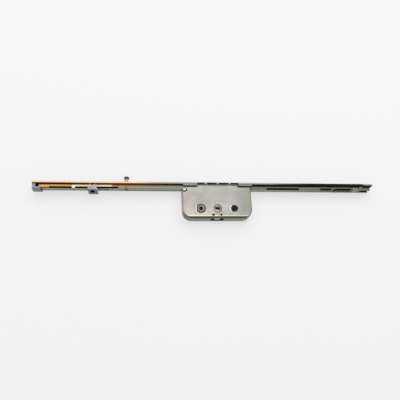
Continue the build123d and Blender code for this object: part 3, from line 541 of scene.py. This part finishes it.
def follower_material():
    """Cast hub: a pale face with a brown rim darkened by painted shade, and a square with painted light near
    its mouth, painted shade deeper down and painted light below a slanting line.
    """
    face_radius, face_soft = 4.35 * MM, 0.15 * MM
    rim_fade = 1.0 * MM
    square_half, square_soft = 3.545 * MM, 0.015 * MM
    deep_z, deep_soft = 0.2 * MM, 0.8 * MM
    mouth_z, slope = 6.0 * MM, 0.356
    sight_edge, dark_edge_soft = -1.5 * MM, 0.3 * MM

    shader = Shader("follower_casting", metallic=0.6)
    x = shader.axis("X")
    y = shader.axis("Y")
    z = shader.axis("Z")
    skin = shader.noise(500, detail=4)
    pale = shader.mottle(skin, srgb(190, 184, 170), srgb(220, 214, 200))
    # The brown rim is partly painted shade of the gap round the hub, darkest on the side toward the strip
    rim_colour = shader.mix(shader.above(y, 0.0, rim_fade), srgb(128, 96, 74), srgb(40, 26, 16))
    rim = shader.rest(shader.near((0, 0), face_radius, face_soft))
    pale = shader.mix(rim, pale, rim_colour)
    square = shader.times(shader.below(shader.away(x), square_half, square_soft),
                          shader.below(shader.away(y), square_half, square_soft))
    deep = shader.below(z, deep_z, deep_soft)

    # The painted shade stops at a slanting line, below which the walls carry painted light
    slant = shader.minus(y, shader.times(shader.minus(mouth_z, z), slope))
    lit_below_sight = shader.below(slant, sight_edge, dark_edge_soft)
    # Painted light on the walls near the mouth, painted shade deeper down
    walls = shader.mix(deep, srgb(240, 232, 212), srgb(12, 7, 3))
    walls = shader.mix(lit_below_sight, walls, srgb(232, 226, 208))
    shader.dull(shader.times(square, deep, shader.rest(lit_below_sight)))
    shader.colour(shader.mix(square, pale, walls))
    shader.rough(skin, 0.36, 0.55)
    shader.bump(skin, 0.03 * MM)
    return shader.material


def sleeve_material(name, centre, light, dark, bore_colour, dark_rings):
    """Turned sleeve: fine rings, a bore with painted shade at its lower left, and rings of painted shade
    round it.
    """
    ring_soft = 0.12 * MM
    bore_radius = 2.8 * MM
    dark_centre = (centre[0] - 0.7 * MM, centre[1] - 1.4 * MM)
    dark_radius, dark_soft = 1.7 * MM, 0.3 * MM
    rings_a_metre = 26000

    shader = Shader(name, metallic=0.85)
    radius = shader.radius(centre)
    rings = shader.math("SINE", shader.times(radius, rings_a_metre))
    stain = shader.noise(700, detail=3)
    tone = shader.plus(shader.times(rings, 0.18), stain)
    colour = shader.mix(shader.between(tone, 0.3, 0.75), dark, light)
    deep = shader.near(dark_centre, dark_radius, dark_soft)
    bore = shader.mix(deep, srgb(136, 133, 120), bore_colour)
    colour = shader.mix(shader.below(radius, bore_radius, ring_soft), colour, bore)
    # Painted shade in the groove and round the flange's edge
    for low, high, ring_colour in dark_rings:
        colour = shader.mix(shader.within(radius, low, high, ring_soft), colour, ring_colour)
    shader.colour(colour)
    shader.rough(stain, 0.24, 0.42)
    shader.bump(rings, 0.01 * MM)
    return shader.material


def rivet_material():
    """Domed head: bright crown, with painted shade on its rim, darkest in a line round the side away from the
    rail's left end.
    """
    crown_radius, crown_soft = 1.75 * MM, 0.35 * MM
    shade_start, shade_full = -0.2 * MM, 1.0 * MM

    shader = Shader("dome_steel", metallic=0.7)
    middle = ((dome_low.x + dome_high.x) / 2, (dome_low.y + dome_high.y) / 2)
    rim = shader.rest(shader.near(middle, crown_radius, crown_soft))
    lean = shader.minus(shader.minus(shader.axis("X"), middle[0]), shader.minus(shader.axis("Y"), middle[1]))
    shaded = shader.times(rim, shader.between(lean, shade_start, shade_full))
    stain = shader.noise(500, detail=3)
    crown = shader.mottle(stain, srgb(204, 202, 192), srgb(230, 228, 218))
    crown = shader.mix(rim, crown, srgb(146, 138, 124))
    shader.colour(shader.mix(shaded, crown, srgb(62, 58, 46)))
    shader.rough(stain, 0.3, 0.42)
    return shader.material


def tab_material():
    """Sprung holder: painted light where its tab bulges, and painted shade toward the tab's ends."""
    bulge_half, bulge_soft = 3.7 * MM, 1.1 * MM
    bulge_depth = 1.4 * MM

    shader = Shader("holder_steel", metallic=0.1)
    across = shader.away(shader.axis("X"), (tab_low.x + tab_high.x) / 2)
    bulge = shader.times(shader.below(across, bulge_half, bulge_soft),
                         shader.below(shader.axis("Y"), tab_low.y + bulge_depth))
    stain = shader.noise(500, detail=3)
    bright = shader.mottle(stain, srgb(232, 232, 226), srgb(252, 252, 248))
    # Painted light on the bulge, painted shade elsewhere on the tab
    shader.colour(shader.mix(bulge, srgb(66, 64, 50), bright))
    shader.rough(stain, 0.4, 0.5)
    return shader.material


def cam_material():
    """Locking cam: browned head on a golden neck."""
    neck_height = 6.2 * MM

    shader = Shader("cam_steel", metallic=0.8)
    stain = shader.noise(500, detail=4)
    head = shader.mottle(stain, srgb(74, 54, 30), srgb(118, 90, 52))
    neck = shader.mottle(stain, srgb(190, 146, 100), srgb(224, 182, 136))
    shader.colour(shader.mix(shader.above(shader.axis("Y"), plate_high.y + neck_height), neck, head))
    shader.rough(stain, 0.28, 0.45)
    return shader.material


def plain_metal(name, light, dark, smoothest=0.35, roughest=0.5, metallic=0.8):
    """Metal with a faint stain all over."""
    shader = Shader(name, metallic=metallic)
    stain = shader.noise(500, detail=4)
    shader.colour(shader.mottle(stain, dark, light))
    shader.rough(stain, smoothest, roughest)
    shader.bump(shader.noise(2500, detail=2), 0.02 * MM)
    return shader.material


plated = rod_material()
castings = casting_material("zinc_casting", light=srgb(192, 190, 204), dark=srgb(164, 163, 178),
                            back=srgb(126, 124, 134), slant=srgb(206, 206, 216), touch=guide_touch)
end_castings = casting_material("zinc_casting_end", light=srgb(172, 174, 190), dark=srgb(146, 149, 166),
                                back=srgb(138, 142, 140), slant=srgb(92, 96, 90), touch=end_touch)
gears = gear_material()
bronze = plain_metal("bush_bronze", srgb(112, 74, 50), srgb(72, 44, 28), 0.45, 0.6, 0.4)
springs = plain_metal("spring_steel", srgb(150, 148, 138), srgb(120, 118, 108), 0.28, 0.42, 0.85)
dark_rivets = plain_metal("rod_rivet_steel", srgb(118, 116, 104), srgb(84, 82, 72))
rivets = plain_metal("rivet_steel", srgb(214, 210, 198), srgb(180, 176, 164), 0.25, 0.4)
left_sleeve = sleeve_material(
    "sleeve_left", (LEFT_HANDLE_X, 0), srgb(190, 188, 178), srgb(132, 130, 122), srgb(20, 18, 14),
    [(3.6 * MM, 4.2 * MM, srgb(86, 84, 75)), (4.7 * MM, 7.0 * MM, srgb(44, 42, 36))])
right_sleeve = sleeve_material(
    "sleeve_right", (RIGHT_HANDLE_X, 0), srgb(150, 148, 140), srgb(100, 98, 92), srgb(8, 7, 5),
    [(3.7 * MM, 4.1 * MM, srgb(40, 38, 32))])

# The material of each piece
finishes = {
    "faceplate": faceplate_material(),
    "drive_rod_left": plated,
    "drive_rod_right": plated,
    "drive_rod_tail": plated,
    "rack_slide": plated,
    "rod_coupler": plain_metal("coupler_steel", srgb(164, 164, 156), srgb(138, 138, 130)),
    "case_cover": case_material(),
    "case_base": case_material(),
    "follower": follower_material(),
    "idler_gear": gears,
    "guide_block": castings,
    "end_guide_block": end_castings,
    "handle_sleeve_left": left_sleeve,
    "handle_sleeve_right": right_sleeve,
    "idler_pin": rivets,
    "rod_rivets": dark_rivets,
    "corner_rivet": rivet_material(),
    "guide_stud": dark_rivets,
    "cam_stud": plain_metal("cam_stud_steel", srgb(136, 132, 112), srgb(104, 98, 80)),
    "locking_cam": cam_material(),
    "follower_bush_cover": bronze,
    "follower_bush_base": bronze,
    "detent_spring": springs,
    "spring_holder": tab_material(),
}
for name, material in finishes.items():
    mesh = nodes[name].data
    mesh.materials.clear()
    mesh.materials.append(material)


def open_table(shader):
    """1 where the table is open, 0 deep under the case and right under the rods, and 0.8 in a painted pool of
    light under the square.
    """
    case_corner = 12.0 * MM
    case_edge, case_soft = case_corner - 0.4 * MM, 0.6 * MM
    case_front_y, case_front_soft = cover_high.y - 2.5 * MM, 1.5 * MM
    spindle_centre = (1.2 * MM, -3.0 * MM)  # a painted pool of light, where light through the square would land beside its axis
    spindle_radius, spindle_soft = 6.4 * MM, 0.4 * MM
    rail_low_y, rail_low_soft = 29.1 * MM, 0.5 * MM
    rail_high_y, rail_high_soft = 34.4 * MM, 0.4 * MM
    rail_middle = (cad_low.x + cad_high.x) / 2
    rail_half, rail_soft = (cad_high.x - cad_low.x) / 2 - 2.0 * MM, 1.0 * MM

    x = shader.axis("X")
    y = shader.axis("Y")
    beside = shader.most(0.0, shader.minus(shader.away(x), cover_high.x - case_corner))
    behind = shader.most(0.0, shader.minus(cover_low.y + case_corner, y))
    out = shader.math("SQRT", shader.plus(shader.times(beside, beside), shader.times(behind, behind)))
    square_light_pool = shader.near(spindle_centre, spindle_radius, spindle_soft)
    under_case = shader.times(shader.below(out, case_edge, case_soft),
                              shader.below(y, case_front_y, case_front_soft),
                              shader.between(square_light_pool, 0.0, 1.0, 1.0, 0.2))
    under_rail = shader.times(shader.above(y, rail_low_y, rail_low_soft),
                              shader.below(y, rail_high_y, rail_high_soft),
                              shader.below(shader.away(x, rail_middle), rail_half, rail_soft))
    return shader.rest(shader.most(under_case, under_rail))


def stage_floor():
    """A level pale floor under the object, nearly white to the camera and to what reflects it."""
    half_size = 3.0
    gap = 0.2 * MM
    white_share = 0.60

    mesh = bpy.data.meshes.new("floor")
    shape = bmesh.new()
    bmesh.ops.create_grid(shape, x_segments=1, y_segments=1, size=half_size)
    shape.to_mesh(mesh)
    shape.free()
    floor = bpy.data.objects.new("floor", mesh)
    floor.location = (0, 0, cad_low.z - gap)
    bpy.context.scene.collection.objects.link(floor)

    shader = Shader("floor_white", roughness=0.7, metallic=0.0)
    shader.colour(srgb(243, 243, 244))
    white = shader.tree.nodes.new("ShaderNodeEmission")
    white.inputs["Color"].default_value = (1.0, 1.0, 1.005, 1)
    path = shader.tree.nodes.new("ShaderNodeLightPath").outputs
    seen = shader.most(path["Is Camera Ray"], shader.most(path["Is Glossy Ray"], path["Is Transmission Ray"]))
    blend = shader.tree.nodes.new("ShaderNodeMixShader")
    shader.put(blend.inputs["Fac"], shader.times(seen, open_table(shader), white_share))
    shader.put(blend.inputs[1], shader.surface.outputs["BSDF"])
    shader.put(blend.inputs[2], white.outputs["Emission"])
    shader.put(shader.tree.nodes["Material Output"].inputs["Surface"], blend.outputs["Shader"])
    mesh.materials.append(shader.material)


def world_light():
    """Even white surroundings, a little dimmer as a light than they look."""
    light_strength = 0.62
    seen_strength = 0.92

    world = bpy.data.worlds.new("studio")
    bpy.context.scene.world = world
    world.use_nodes = True
    tree = world.node_tree
    background = tree.nodes["Background"]
    background.inputs["Color"].default_value = (0.97, 0.98, 1.0, 1)
    path = tree.nodes.new("ShaderNodeLightPath")
    seen = tree.nodes.new("ShaderNodeMath")
    seen.operation = "MAXIMUM"
    tree.links.new(path.outputs["Is Camera Ray"], seen.inputs[0])
    tree.links.new(path.outputs["Is Transmission Ray"], seen.inputs[1])
    strength = tree.nodes.new("ShaderNodeMapRange")
    tree.links.new(seen.outputs[0], strength.inputs["Value"])
    strength.inputs["To Min"].default_value = light_strength
    strength.inputs["To Max"].default_value = seen_strength
    tree.links.new(strength.outputs["Result"], background.inputs["Strength"])


def key_light():
    """One wide soft lamp beyond the rail, aimed at the object's origin."""
    data = bpy.data.lights.new("key", "AREA")
    data.shape = "RECTANGLE"
    data.size = 2.4
    data.size_y = 1.6
    data.energy = 15.0
    data.color = (1.0, 0.985, 0.96)
    lamp = bpy.data.objects.new("key", data)
    lamp.location = (0.1, 1.2, 1.3)
    direction = -Vector(lamp.location)
    lamp.rotation_euler = direction.to_track_quat("-Z", "Y").to_euler()
    bpy.context.scene.collection.objects.link(lamp)


def photo_camera():
    """The photograph's viewpoint, fitted to the case, the screw holes and the rail."""
    turn_degrees = (20.976, -7.353, -2.497)

    data = bpy.data.cameras.new("photo_camera")
    data.sensor_width = 36.0
    data.lens = 42.03
    data.clip_start = 0.01
    camera = bpy.data.objects.new("photo_camera", data)
    camera.location = (-0.1027, -0.1984, 0.5569)
    camera.rotation_euler = Euler([math.radians(degrees) for degrees in turn_degrees], "XYZ")
    bpy.context.scene.collection.objects.link(camera)
    bpy.context.scene.camera = camera


bpy.context.scene.view_settings.view_transform = "Standard"
stage_floor()
world_light()
key_light()
photo_camera()
